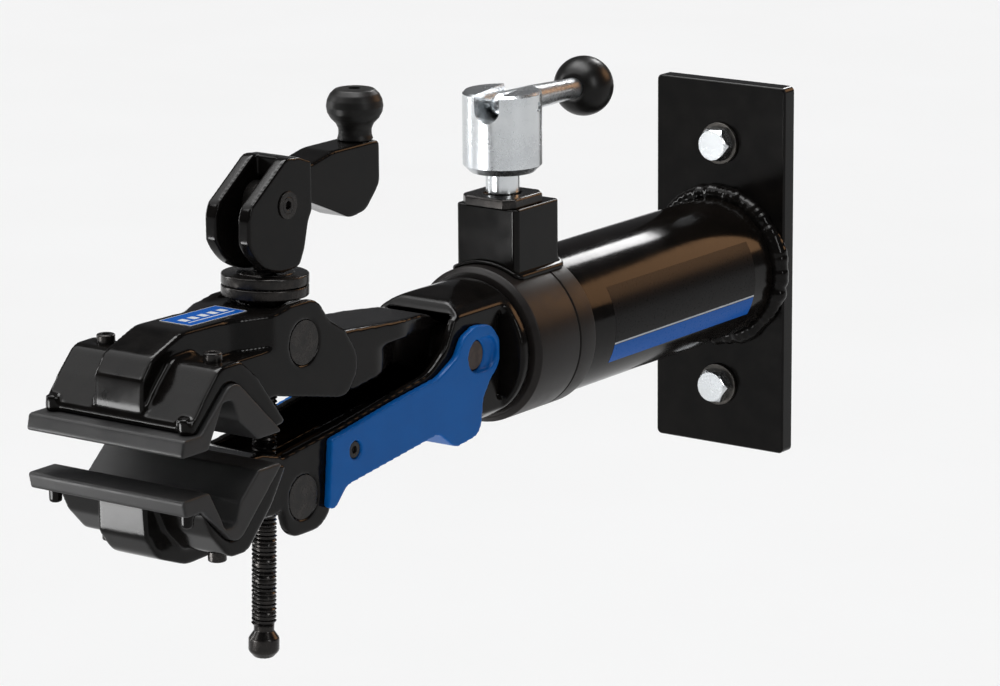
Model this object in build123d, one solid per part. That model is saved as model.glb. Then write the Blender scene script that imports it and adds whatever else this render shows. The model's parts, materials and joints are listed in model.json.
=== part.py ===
from build123d import *
import math
import os

# Wall-mounted bicycle repair clamp, in millimetres.
# Origin: centre of the wall plate's back face. +Y points into the wall, +Z is up,
# and +X lies along the length of the jaws.

# ---- wall plate and outer tube (3 1/4 x 8 x 3/8 inch plate, 3 inch tube) ----
PLATE_WIDTH = 82.55
PLATE_HEIGHT = 203.2
PLATE_THICK = 9.525
PLATE_CORNER_R = 3.0
TUBE_R = 38.1
TUBE_WALL = 3.2
TUBE_FRONT_Y = -232.0
WELD_LEG = 5.4

# ---- wall bolts ----
BOLT_OFFSET_Z = 67.5
BOLT_SHANK_R = 5.6
BOLT_THREAD_R = 5.0
BOLT_REACH = 50.0
BOLT_HEAD_FLATS = 17.0
BOLT_HEAD_HEIGHT = 7.0
WASHER_R = 11.5
WASHER_THICK = 2.0

# ---- tube end collar and the shaft that turns in it ----
COLLAR_R = 40.2
COLLAR_FRONT_Y = -237.5
COLLAR_REAR_Y = -187.0
COLLAR_GROOVE_Y = -201.0
COLLAR_MOUTH_R = 31.0
SHAFT_R = 30.0
SHAFT_WALL = 4.0
SHAFT_REAR_Y = -75.0
RUNNING_GAP = 0.05

# ---- swivel lock: socket, shoe, hub and lever ----
LOCK_Y = -208.0
STUD_Y = -212.3
LOCK_SOCKET_SIDE = 38.1
LOCK_SOCKET_TOP = 70.0
LOCK_NUT_SIDE = 33.0
LOCK_NUT_TOP = 75.0
SHOE_R = 12.0
SHOE_TOP = 56.0
STUD_R = 6.0
THREAD_GAP = 0.35
HUB_R = 20.2
HUB_BOTTOM = 86.3
HUB_TOP = 127.5
HUB_NECK_R = 8.6
HUB_SLOT_WIDTH = 13.8
LEVER_AXIS_Z = 120.3
LEVER_ROD_R = 6.35
LEVER_END_R = 5.2
LEVER_TAPER_FROM = 40.0
LEVER_REACH = 104.6
LEVER_HEADING = -11.4
LEVER_DROOP = 4.4
BALL_R = 15.875
LEVER_PIN_R = 2.5

# ---- fixed casting: shaft root, lower arm and lower jaw ----
ROOT_R = 36.0
ROOT_REAR_Y = -239.0
CHEEK_X = 24.0
CHEEK_INNER_X = 19.2
PIVOT_Y = -273.0
PIVOT_Z = 5.5
PIVOT_R = 7.5
DOME_R = 36.0
DOME_FRONT_Y = -284.5
DOME_BORE_R = 24.5
FLANGE_FRONT_Y = -246.0

# ---- upper arm ----
ARM_X = 18.8
ARM_NECK_X = 8.5
ARM_FLANGE_X = 13.0
ARM_FLANGE_Z = 22.5
ARM_BARREL_R = 15.0
ARM_FRONT_Y = -394.6

# ---- clamp screw line ----
NUT_Y = -409.0
NUT_Z = -36.5
SEAT_Y = -406.3
SEAT_Z = 38.5
SCREW_LEAN = math.degrees(math.atan2(SEAT_Y - NUT_Y, SEAT_Z - NUT_Z))
TRUNNION_R = 10.8
SCREW_R = 6.0
SCREW_END_Z = -103.0
CAP_END_Z = -119.4
CAP_R = 7.5
DISC_R = 21.0
DISC_LOW_Z = 58.8
DISC_MID_Z = 64.2
DISC_TOP_Z = 69.6
CAM_PAD_R = 14.0
CAM_PAD_Z = 70.2
SEAT_NECK_R = 9.5

# ---- cam lever and grip ----
CAM_PIN_Z = 103.0
PIN_Y = SEAT_Y + math.tan(math.radians(SCREW_LEAN)) * (CAM_PIN_Z - SEAT_Z)
EYE_Z = SEAT_Z + (CAM_PIN_Z - SEAT_Z) / math.cos(math.radians(SCREW_LEAN))
CAM_R = 32.4
CAM_PIN_R = 4.0
YOKE_X = 13.25
YOKE_GAP_X = 6.5
EYE_R = 10.0
GRIP_Y = -334.0
GRIP_BASE_Z = 122.2
GRIP_TOP_Z = 147.0
GRIP_HEAD_R = 13.8
GRIP_NECK_R = 8.0
GRIP_AXLE_R = 3.0
CRANK_END_Y = -326.6
CRANK_TOP_Z = 121.8

# ---- jaws and pads (the lower jaw mirrors the upper about JAW_MID_Z) ----
JAW_MID_Z = 1.2
PAD_X = 46.5
WING_X = 44.0
RIDGE_X = 14.5
PAD_BOLT_X = 32.0
PAD_BOLT_Y = -484.0
PAD_BOLT_R = 4.4
PAD_BOLT_HEAD = 5.0
PAD_BOLT_SHANK_R = 2.5
PAD_BOLT_BASE_Z = 45.8

# ---- blue cover round the lower arm ----
COVER_IN_X = 24.05
COVER_OUT_X = 28.0
COVER_SCREW_Y = -373.3
COVER_SCREW_Z = -20.6


# ---------------------------------------------------------------- helpers

def rod_x(radius, x0, x1, y, z):
    """Cylinder along X."""
    return Pos((x0 + x1) / 2, y, z) * Rot(0, 90, 0) * Cylinder(radius, x1 - x0)


def rod_y(radius, y0, y1, x=0.0, z=0.0):
    """Cylinder along Y."""
    return Pos(x, (y0 + y1) / 2, z) * Rot(90, 0, 0) * Cylinder(radius, y1 - y0)


def rod_z(radius, z0, z1, x=0.0, y=0.0):
    """Cylinder along Z."""
    return Pos(x, y, (z0 + z1) / 2) * Cylinder(radius, z1 - z0)


def block(x0, x1, y0, y1, z0, z1):
    """Box between two corners."""
    return Pos((x0 + x1) / 2, (y0 + y1) / 2, (z0 + z1) / 2) * Box(x1 - x0, y1 - y0, z1 - z0)


def rounded_sketch(outline):
    """Polygon whose corners carry their own rounding: outline holds (u, v) or (u, v, radius)."""
    sketch = Polygon(*[(point[0], point[1]) for point in outline], align=None)
    for point in outline:
        if len(point) > 2:
            corner = sketch.vertices().sort_by_distance((point[0], point[1], 0))[0]
            sketch = fillet(corner, point[2])
    return sketch


def side_slab(outline, x0, x1):
    """Outline in (y, z), extruded from x0 to x1."""
    return Pos(x0, 0, 0) * extrude(Plane.YZ * rounded_sketch(outline), x1 - x0, dir=(1, 0, 0))


def plan_slab(outline, z0, z1):
    """Outline in (x, y), extruded from z0 to z1."""
    return Pos(0, 0, z0) * extrude(Plane.XY * rounded_sketch(outline), z1 - z0, dir=(0, 0, 1))


def on_screw_line(solid):
    """Lean an upright solid, drawn about the line x = 0, y = 0, onto the clamp screw's line."""
    return Pos(0, SEAT_Y, SEAT_Z) * Rot(-SCREW_LEAN, 0, 0) * Pos(0, 0, -SEAT_Z) * solid


def turned_z(profile, x=0.0, y=0.0):
    """Solid turned about a vertical axis: profile holds (radius, z)."""
    return Pos(x, y, 0) * revolve(Plane.XZ * Polygon(*profile, align=None), Axis.Z)


def flipped(outline):
    """The same outline mirrored about the jaws' middle plane."""
    return [(point[0], 2 * JAW_MID_Z - point[1], *point[2:]) for point in outline]


def both_sides(make):
    """make(sign) for the far and near side, joined."""
    return make(-1) + make(1)


def mirrored_slab(outline, x0, x1, sign):
    """side_slab on the near side (sign 1) or the far side (sign -1)."""
    if sign > 0:
        return side_slab(outline, x0, x1)
    return side_slab(outline, -x1, -x0)


# ---------------------------------------------------------------- wall frame

def wall_plate():
    plate = block(-PLATE_WIDTH / 2, PLATE_WIDTH / 2, -PLATE_THICK, 0, -PLATE_HEIGHT / 2, PLATE_HEIGHT / 2)
    plate = fillet(plate.edges().filter_by(Axis.Y), PLATE_CORNER_R)
    plate = chamfer(plate.faces().sort_by(Axis.Y)[0].edges(), 0.8)
    for sign in (-1, 1):
        plate -= rod_y(BOLT_SHANK_R, -PLATE_THICK, 0, z=sign * BOLT_OFFSET_Z)
    return plate


def outer_tube():
    tube = rod_y(TUBE_R, TUBE_FRONT_Y, -PLATE_THICK)
    tube -= rod_y(TUBE_R - TUBE_WALL, TUBE_FRONT_Y, -PLATE_THICK)
    return tube - rod_z(SHOE_R + 0.5, 0, TUBE_R + 5, y=STUD_Y)


def plate_weld():
    bead = rod_y(TUBE_R + WELD_LEG, -PLATE_THICK - WELD_LEG, -PLATE_THICK)
    front = bead.edges().filter_by(GeomType.CIRCLE).sort_by(Axis.Y)[0]
    bead = chamfer(front, WELD_LEG - 0.6)
    return bead - rod_y(TUBE_R, -PLATE_THICK - WELD_LEG, -PLATE_THICK)


def wall_bolt(sign):
    z = sign * BOLT_OFFSET_Z
    seat_y = -PLATE_THICK - WASHER_THICK
    head = extrude(RegularPolygon(BOLT_HEAD_FLATS / 2, 6, major_radius=False), BOLT_HEAD_HEIGHT)
    head = Pos(0, seat_y, z) * Rot(90, 0, 0) * head
    cone = Pos(0, seat_y - BOLT_HEAD_HEIGHT / 2, z) * Rot(90, 0, 0)
    cone = cone * Cone(BOLT_HEAD_FLATS / 2 + 4.2, BOLT_HEAD_FLATS / 2 - 0.4, BOLT_HEAD_HEIGHT)
    shank = rod_y(BOLT_SHANK_R, seat_y, 0, z=z) + rod_y(BOLT_THREAD_R, 0, BOLT_REACH, z=z)
    return (head & cone) + shank


def wall_washer(sign):
    z = sign * BOLT_OFFSET_Z
    front = -PLATE_THICK - WASHER_THICK
    ring = rod_y(WASHER_R, front, -PLATE_THICK, z=z)
    return ring - rod_y(BOLT_SHANK_R, front, -PLATE_THICK, z=z)


def collar_sleeve():
    collar = rod_y(COLLAR_R, COLLAR_FRONT_Y, COLLAR_REAR_Y)
    rims = collar.edges().filter_by(GeomType.CIRCLE).sort_by(Axis.Y)
    collar = chamfer(rims[0], 2.6)
    collar = chamfer(collar.edges().filter_by(GeomType.CIRCLE).sort_by(Axis.Y)[-1], 0.8)
    collar -= rod_y(TUBE_R, TUBE_FRONT_Y, COLLAR_REAR_Y)
    collar -= rod_y(COLLAR_MOUTH_R, COLLAR_FRONT_Y, TUBE_FRONT_Y)
    groove = rod_y(COLLAR_R + 1, COLLAR_GROOVE_Y - 0.7, COLLAR_GROOVE_Y + 0.7)
    groove -= rod_y(COLLAR_R - 0.8, COLLAR_GROOVE_Y - 0.7, COLLAR_GROOVE_Y + 0.7)
    return collar - groove - rod_z(SHOE_R + 0.5, 0, COLLAR_R + 1, y=STUD_Y)


def bushing(y0, y1):
    ring = rod_y(TUBE_R - TUBE_WALL, y0, y1)
    return ring - rod_y(SHAFT_R + RUNNING_GAP, y0, y1)


def lock_socket():
    half = LOCK_SOCKET_SIDE / 2
    socket = block(-half, half, LOCK_Y - half, LOCK_Y + half, 25, LOCK_SOCKET_TOP)
    socket = fillet(socket.edges().filter_by(Axis.Z), 3.0)
    socket = fillet(socket.faces().sort_by(Axis.Z)[-1].edges(), 1.0)
    socket -= rod_y(COLLAR_R, LOCK_Y - half, LOCK_Y + half)
    return socket - rod_z(SHOE_R + 0.1, 20, LOCK_SOCKET_TOP, y=STUD_Y)


def socket_weld():
    half = LOCK_SOCKET_SIDE / 2
    outer = half + 2.6
    pad = block(-outer, outer, LOCK_Y - outer, LOCK_Y + outer, 25, 50)
    pad = fillet(pad.edges().filter_by(Axis.Z), 5.0)
    shell = rod_y(COLLAR_R + 2.2, LOCK_Y - outer, LOCK_Y + outer)
    shell -= rod_y(COLLAR_R, LOCK_Y - outer, LOCK_Y + outer)
    core = block(-half, half, LOCK_Y - half, LOCK_Y + half, 20, 60)
    core = fillet(core.edges().filter_by(Axis.Z), 3.0)
    return (pad & shell) - core


def lock_nut():
    half = LOCK_NUT_SIDE / 2
    nut = block(-half, half, STUD_Y - half, STUD_Y + half, LOCK_SOCKET_TOP, LOCK_NUT_TOP)
    nut = chamfer(nut.edges().filter_by(Axis.Z), 5.0)
    nut = chamfer(nut.faces().sort_by(Axis.Z)[-1].edges(), 0.9)
    nut -= rod_z(HUB_NECK_R + 1.2, LOCK_NUT_TOP - 1.6, LOCK_NUT_TOP, y=STUD_Y)
    return nut - rod_z(STUD_R + THREAD_GAP, LOCK_SOCKET_TOP, LOCK_NUT_TOP, y=STUD_Y)


# ---------------------------------------------------------------- swivel lock

def brake_shoe():
    shoe = rod_z(SHOE_R, 20, SHOE_TOP, y=STUD_Y)
    shoe -= rod_y(SHAFT_R + RUNNING_GAP, STUD_Y - SHOE_R, STUD_Y + SHOE_R)
    return shoe - rod_z(STUD_R + THREAD_GAP, 49.5, SHOE_TOP, y=STUD_Y)


def lever_place():
    """Local frame on the hub's axis whose +Y runs out along the lever."""
    return Pos(0, STUD_Y, 0) * Rot(0, 0, -LEVER_HEADING)


def on_lever(solid):
    """Move a solid drawn along +Y from the lever's pin to the drooping lever's place."""
    return lever_place() * Pos(0, 0, LEVER_AXIS_Z) * Rot(-LEVER_DROOP, 0, 0) * solid


def lock_hub():
    hub = rod_z(HUB_R, HUB_BOTTOM, HUB_TOP)
    hub = chamfer(hub.faces().sort_by(Axis.Z)[0].edges(), 3.6)
    hub = chamfer(hub.faces().sort_by(Axis.Z)[-1].edges(), 1.2)
    hub += rod_z(HUB_NECK_R, LOCK_NUT_TOP + 0.6, HUB_BOTTOM)
    half = HUB_SLOT_WIDTH / 2
    slot = block(-half, half, -HUB_R - 2, HUB_R + 2, LEVER_AXIS_Z, HUB_TOP + 2)
    slot += rod_y(half, -HUB_R - 2, HUB_R + 2, z=LEVER_AXIS_Z)
    hub -= slot
    hub -= rod_x(LEVER_PIN_R, -HUB_R, HUB_R, 0, LEVER_AXIS_Z)
    return lever_place() * hub - on_lever(rod_y(half, 0, HUB_R + 4))


def lock_stud():
    return rod_z(STUD_R, 50.0, LOCK_NUT_TOP + 0.6, y=STUD_Y)


def lever_pin():
    reach = math.sqrt(HUB_R ** 2 - LEVER_PIN_R ** 2) - 0.6
    return lever_place() * rod_x(LEVER_PIN_R, -reach, reach, 0, LEVER_AXIS_Z)


def lever_rod():
    """Round-ended rod on the pin, tapering to the ball."""
    end = LEVER_REACH - 6
    taper = Pos(0, (LEVER_TAPER_FROM + end) / 2, 0) * Rot(-90, 0, 0)
    taper = taper * Cone(LEVER_ROD_R, LEVER_END_R, end - LEVER_TAPER_FROM)
    rod = Sphere(LEVER_ROD_R) + rod_y(LEVER_ROD_R, 0, LEVER_TAPER_FROM) + taper
    return on_lever(rod - rod_x(LEVER_PIN_R + RUNNING_GAP, -LEVER_ROD_R, LEVER_ROD_R, 0, 0))


def lever_ball():
    ball = Pos(0, LEVER_REACH, 0) * Sphere(BALL_R)
    end = LEVER_REACH - 6
    taper = Pos(0, (LEVER_TAPER_FROM + end) / 2, 0) * Rot(-90, 0, 0)
    return on_lever(ball - taper * Cone(LEVER_ROD_R, LEVER_END_R, end - LEVER_TAPER_FROM))


# ---------------------------------------------------------------- clamp head

def swivel_shaft():
    shaft = rod_y(SHAFT_R, ROOT_REAR_Y, SHAFT_REAR_Y)
    return shaft - rod_y(SHAFT_R - SHAFT_WALL, ROOT_REAR_Y, SHAFT_REAR_Y)


def shaft_retainer():
    ring = rod_y(SHAFT_R + 3.4, SHAFT_REAR_Y - 4.5, SHAFT_REAR_Y)
    return ring - rod_y(SHAFT_R, SHAFT_REAR_Y - 4.5, SHAFT_REAR_Y)


def thrust_washer():
    ring = rod_y(SHAFT_R + 3.5, ROOT_REAR_Y, ROOT_REAR_Y + 1.0)
    return ring - rod_y(SHAFT_R, ROOT_REAR_Y, ROOT_REAR_Y + 1.0)


def casting_root():
    """Round flange, a flat-sided root in front of it and a dome over the arm's pivot."""
    root = rod_y(ROOT_R, -262, FLANGE_FRONT_Y)
    profile = [(FLANGE_FRONT_Y, 0), (FLANGE_FRONT_Y, DOME_R), (-262, DOME_R, 25), (-281, 32.8, 8),
               (DOME_FRONT_Y, 27.0, 1.5), (DOME_FRONT_Y, 0)]
    dome = side_slab(profile, -CHEEK_X, CHEEK_X) & rod_y(DOME_R, -290, ROOT_REAR_Y)
    root = (root & block(-CHEEK_X, CHEEK_X, -290, ROOT_REAR_Y, -ROOT_R, DOME_R)) + dome
    root += rod_y(ROOT_R, FLANGE_FRONT_Y, ROOT_REAR_Y)
    root -= rod_x(DOME_BORE_R, -CHEEK_INNER_X, CHEEK_INNER_X, PIVOT_Y, PIVOT_Z)
    for sign in (-1, 1):
        slot = block(-4.5, 4.5, FLANGE_FRONT_Y - 4.5, FLANGE_FRONT_Y, -21.5, 21.5)
        root -= Pos(sign * CHEEK_X, 0, 0) * slot
    return root


def lower_cheek(sign):
    outline = [(-425.8, -38, 4), (-425.8, -13.9), (-376.4, -7.7), (-332.4, -0.6), (-307.8, 3.0, 25),
               (-294.4, 12.4, 12), (-286.7, 26.5, 3), (-258, 26.5), (-258, -26.5),
               (-290, -30.5, 4), (-305.5, -23.5, 8), (-378, -32.5, 8), (-394.0, -55.0, 16),
               (-421.0, -55.0, 12)]
    return mirrored_slab(outline, CHEEK_INNER_X, CHEEK_X, sign)


def arm_floor():
    outline = [(-386, -32.8), (-378, -32.5), (-305.5, -23.5), (-290, -28.5), (-258, -26.5), (-258, -21.5),
               (-290, -23.5), (-305.5, -18.5), (-378, -27.5), (-386, -27.8)]
    return side_slab(outline, -CHEEK_INNER_X - 0.5, CHEEK_INNER_X + 0.5)


def lower_arm():
    arm = casting_root() + both_sides(lower_cheek) + arm_floor()
    arm -= rod_x(PIVOT_R, -CHEEK_X, CHEEK_X, PIVOT_Y, PIVOT_Z)
    return arm - rod_x(TRUNNION_R + RUNNING_GAP, -CHEEK_X, CHEEK_X, NUT_Y, NUT_Z)


def pivot_pin():
    return rod_x(PIVOT_R, -CHEEK_X - 1.6, CHEEK_X + 1.6, PIVOT_Y, PIVOT_Z)


PAD_OUTLINE = [(-525.0, 11.0, 1.5), (-506.0, 11.0, 2.0), (-498.5, 24.0, 4.0), (-495.0, 31.0, 3.0),
               (-488.0, 31.0, 3.0), (-484.0, 20.5, 4.0), (-470.0, 8.5, 1.0), (-452.0, 8.5, 1.0),
               (-486.5, 40.9, 8.0), (-510.5, 19.2, 3.0), (-523.0, 19.2, 1.5)]

UPPER_WING = [(-514.5, 19.2), (-510.5, 19.2, 3.0), (-486.5, 41.0, 8.0), (-453.8, 10.25), (-446.0, 11.5, 1.5),
              (-466.0, 37.0, 9.0), (-478.0, 47.0, 8.0), (-493.5, 46.6, 9.0), (-505.0, 35.0, 16.0),
              (-514.5, 23.5, 3.0)]

LOWER_WING = [(-514.5, 19.2), (-510.5, 19.2, 3.0), (-486.5, 41.0, 8.0), (-453.8, 10.25), (-446.0, 11.5, 1.5),
              (-458.0, 29.0, 9.0), (-476.0, 46.4, 8.0), (-489.0, 46.4, 9.0), (-501.0, 34.0, 6.0),
              (-507.0, 22.5, 3.0)]

UPPER_RIDGE = [(-512.5, 19.2), (-510.5, 19.2, 3.0), (-486.5, 41.0, 8.0), (-453.8, 10.25), (-439.0, 16.5),
               (-426.0, 16.5), (-426.0, 56.4), (-484.0, 57.6, 20.0), (-506.0, 49.5, 12.0),
               (-513.2, 40.5, 3.0), (-513.8, 27.0, 2.0)]

LOWER_RIDGE = [(-512.5, 19.2), (-510.5, 19.2, 3.0), (-486.5, 41.0, 8.0), (-453.8, 10.25), (-439.0, 11.6),
               (-426.0, 15.0), (-426.0, 42.0), (-446.0, 47.0, 16.0), (-462.0, 54.6, 12.0),
               (-484.0, 55.8, 20.0), (-505.0, 48.0, 14.0), (-513.2, 37.0, 3.0), (-513.8, 22.0, 2.0)]

TOP_PLAN = [(-RIDGE_X, -516.0), (RIDGE_X, -516.0), (RIDGE_X + 0.5, -449.0, 14), (CHEEK_X, -430.0, 8),
            (CHEEK_X, -426.0), (-CHEEK_X, -426.0), (-CHEEK_X, -430.0, 8), (-RIDGE_X - 0.5, -449.0, 14)]

SKIRT_PLAN = [(-RIDGE_X, -516.0), (RIDGE_X, -516.0), (RIDGE_X, -478.0, 14), (CHEEK_X, -460.0, 8),
              (CHEEK_X, -426.0), (-CHEEK_X, -426.0), (-CHEEK_X, -460.0, 8), (-RIDGE_X, -478.0, 14)]

SKIRT_TOP_Z = 40.0


def jaw_front(mirror):
    """The part of a jaw in front of the screw: ridge, wings and the wings' front lugs."""
    turn = flipped if mirror else list
    wing = turn(LOWER_WING) if mirror else UPPER_WING
    ridge = side_slab(turn(LOWER_RIDGE) if mirror else UPPER_RIDGE, -CHEEK_X, CHEEK_X)
    top = plan_slab(TOP_PLAN, 0.0, 70.0)
    skirt = plan_slab(SKIRT_PLAN, 0.0, SKIRT_TOP_Z)
    if mirror:
        top = top.mirror(Plane.XY)
        skirt = skirt.mirror(Plane.XY)
    front = (ridge & (top + skirt)) + side_slab(wing, -WING_X, WING_X)
    lug_low, lug_high = (-24.6, -16.8) if mirror else (19.2, 27.0)
    for sign in (-1, 1):
        front += rod_z(3.2, lug_low, lug_high, x=sign * 39.5, y=-513.9)
        cutter = rod_z(PAD_BOLT_SHANK_R, PAD_BOLT_BASE_Z - 4, PAD_BOLT_BASE_Z)
        cutter += rod_z(PAD_BOLT_R + 0.6, PAD_BOLT_BASE_Z, PAD_BOLT_BASE_Z + 8)
        front -= placed_on_wing(cutter, sign, mirror)
    return front


def placed_on_wing(solid, sign, mirror):
    """Move a solid from the Z axis to a wing's bolt, turned over for the lower jaw."""
    solid = Pos(sign * PAD_BOLT_X, PAD_BOLT_Y, 0) * solid
    if mirror:
        return Pos(0, 0, 2 * JAW_MID_Z) * solid.mirror(Plane.XY)
    return solid


def upper_jaw():
    plate = [(-427, 16.5), (-427, 56.4), (-416, 58.4, 12), (-396, 58.4, 14), (-386.7, 45.7, 14),
             (-374.3, 38.5, 8), (-361.5, 20.4, 14), (-374, 4.6, 10)]
    jaw = jaw_front(False)
    for sign in (-1, 1):
        jaw += mirrored_slab(plate, CHEEK_INNER_X, CHEEK_X, sign)
    top = [(-427, 50.5), (-427, 56.4), (-396, 56.4), (-390, 51.0), (-390, 46.5), (-398, 50.5)]
    jaw += side_slab(top, -CHEEK_INNER_X - 0.5, CHEEK_INNER_X + 0.5)
    jaw -= rod_x(TRUNNION_R + RUNNING_GAP, -CHEEK_X, CHEEK_X, SEAT_Y, SEAT_Z)
    jaw -= rod_z(SEAT_NECK_R + 2.4, 44, 60, y=SEAT_Y + 0.6)
    return jaw


def lower_jaw():
    return jaw_front(True)


def jaw_pad(mirror):
    outline = flipped(PAD_OUTLINE) if mirror else PAD_OUTLINE
    return side_slab(outline, -PAD_X, PAD_X)


def pad_bolt(sign, mirror):
    """Cap screw in the wing: head outside, shank down into the wing's metal."""
    top = PAD_BOLT_BASE_Z + PAD_BOLT_HEAD
    head = rod_z(PAD_BOLT_R, PAD_BOLT_BASE_Z, top)
    head = fillet(head.faces().sort_by(Axis.Z)[-1].edges(), 0.8)
    head -= Pos(0, 0, top - 2.6) * extrude(RegularPolygon(2.2, 6), PAD_BOLT_HEAD)
    bolt = head + rod_z(PAD_BOLT_SHANK_R, PAD_BOLT_BASE_Z - 3, PAD_BOLT_BASE_Z)
    return placed_on_wing(bolt, sign, mirror)


def arm_cover():
    """Blue grip: two sides and a floor round the lower arm, with a recess at the pivot pin."""
    side = [(-391.5, -11.5, 2), (-338.5, -3.4, 30), (-305.0, 0.8, 14), (-290.0, 8.0, 8), (-284.5, 17.0, 8),
            (-274.0, 21.0, 8), (-262.0, 19.5, 9), (-254.2, 11.0, 9), (-254.2, -1.0, 8), (-263.0, -9.5, 8),
            (-268.5, -17.0, 6), (-271.0, -35.0, 9), (-292.0, -37.5, 9), (-306.0, -27.5, 10),
            (-380.5, -36.8, 10), (-390.0, -46.5, 4), (-394.5, -44.6, 2)]
    inside = [(-400, 60), (-400, -60), (-374, -60), (-374, -33.3), (-306.0, -25.0, 10), (-291.0, -33.6, 9),
              (-240, -28.0), (-240, 60)]
    cover = side_slab(side, -COVER_OUT_X, COVER_OUT_X) - side_slab(inside, -COVER_IN_X, COVER_IN_X)
    cover -= rod_x(PIVOT_R + 0.3, -COVER_OUT_X, COVER_OUT_X, PIVOT_Y, PIVOT_Z)
    recess = Plane.YZ * (Pos(PIVOT_Y + 4.2, PIVOT_Z) * SlotCenterToCenter(7.0, 17.0))
    for low in (-COVER_OUT_X, COVER_OUT_X - 2.4):
        cover -= Pos(low, 0, 0) * extrude(recess, 2.4)
    cover -= rod_x(4.6, -COVER_OUT_X, COVER_OUT_X, COVER_SCREW_Y, COVER_SCREW_Z)
    return cover


def cover_screw(sign):
    head = rod_x(4.2, COVER_IN_X, COVER_OUT_X - 0.8, COVER_SCREW_Y, COVER_SCREW_Z)
    head -= rod_x(1.8, COVER_OUT_X - 2.8, COVER_OUT_X, COVER_SCREW_Y, COVER_SCREW_Z)
    return head if sign > 0 else head.mirror(Plane.YZ)


# ---------------------------------------------------------------- upper arm

def upper_arm():
    """Deep at the jaw; then the web waists in under a wide top flange back to the pivot barrel."""
    side = [(ARM_FRONT_Y, 37.0), (-371.6, 36.4), (-300.0, 30.5), (-292.0, 28.0, 3), (-287.0, 24.5, 3),
            (-262.0, 15.0), (-262.0, -4.0), (-280.0, -8.0), (-312.0, 7.0, 12), (-331.0, 9.6, 12),
            (-343.0, 7.4, 20), (-361.4, 5.0), (-380.0, 9.0), (ARM_FRONT_Y, 15.0)]
    web = [(-ARM_X, ARM_FRONT_Y), (ARM_X, ARM_FRONT_Y), (ARM_X, -338.0, 30), (ARM_NECK_X, -318.0, 14),
           (ARM_NECK_X, -255.0), (-ARM_NECK_X, -255.0), (-ARM_NECK_X, -318.0, 14), (-ARM_X, -338.0, 30)]
    flange = [(-ARM_X, ARM_FRONT_Y), (ARM_X, ARM_FRONT_Y), (ARM_X, -322.0, 40), (ARM_FLANGE_X, -290.0),
              (ARM_FLANGE_X, -276.0), (-ARM_FLANGE_X, -276.0), (-ARM_FLANGE_X, -290.0),
              (-ARM_X, -322.0, 40)]
    arm = side_slab(side, -ARM_X, ARM_X)
    arm = arm & (plan_slab(web, -20.0, 60.0) + plan_slab(flange, ARM_FLANGE_Z, 60.0))
    arm += rod_x(ARM_BARREL_R, -ARM_X, ARM_X, PIVOT_Y, PIVOT_Z)
    return arm - rod_x(PIVOT_R + RUNNING_GAP, -ARM_X, ARM_X, PIVOT_Y, PIVOT_Z)


# ---------------------------------------------------------------- screw line

def trunnion_nut():
    nut = rod_x(TRUNNION_R, -CHEEK_X + 0.3, CHEEK_X - 0.3, NUT_Y, NUT_Z)
    return nut - on_screw_line(rod_z(SCREW_R + THREAD_GAP, NUT_Z - 20, NUT_Z + 20))


def trunnion_seat():
    seat = rod_x(TRUNNION_R, -CHEEK_X + 0.3, CHEEK_X - 0.3, 0, SEAT_Z)
    seat += rod_z(SEAT_NECK_R, SEAT_Z, DISC_LOW_Z)
    return on_screw_line(seat - rod_z(SCREW_R + RUNNING_GAP, SEAT_Z - 20, DISC_LOW_Z))


def thrust_disc(z0, z1):
    disc = rod_z(DISC_R, z0, z1)
    return fillet(disc.edges().filter_by(GeomType.CIRCLE), 0.9)


def lower_disc():
    disc = thrust_disc(DISC_LOW_Z, DISC_MID_Z - 0.1)
    return on_screw_line(disc - rod_z(SCREW_R + RUNNING_GAP, DISC_LOW_Z, DISC_MID_Z))


def upper_disc():
    disc = thrust_disc(DISC_MID_Z + 0.1, DISC_TOP_Z)
    disc += rod_z(CAM_PAD_R, DISC_TOP_Z, CAM_PAD_Z)
    return on_screw_line(disc - rod_z(SCREW_R, DISC_MID_Z, CAM_PAD_Z))


def clamp_screw():
    screw = rod_z(SCREW_R, SCREW_END_Z, EYE_Z - 4)
    screw += rod_x(EYE_R, -YOKE_GAP_X + 0.4, YOKE_GAP_X - 0.4, 0, EYE_Z)
    return on_screw_line(screw - rod_x(CAM_PIN_R + RUNNING_GAP, -YOKE_X, YOKE_X, 0, EYE_Z))


def screw_cap():
    cap = turned_z([(0, SCREW_END_Z), (SCREW_R - 0.8, SCREW_END_Z), (SCREW_R - 1.0, SCREW_END_Z - 3.0),
                    (CAP_R, SCREW_END_Z - 6.5), (CAP_R, CAP_END_Z + 3.5), (CAP_R - 3.0, CAP_END_Z),
                    (0, CAP_END_Z)])
    return on_screw_line(cap)


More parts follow.
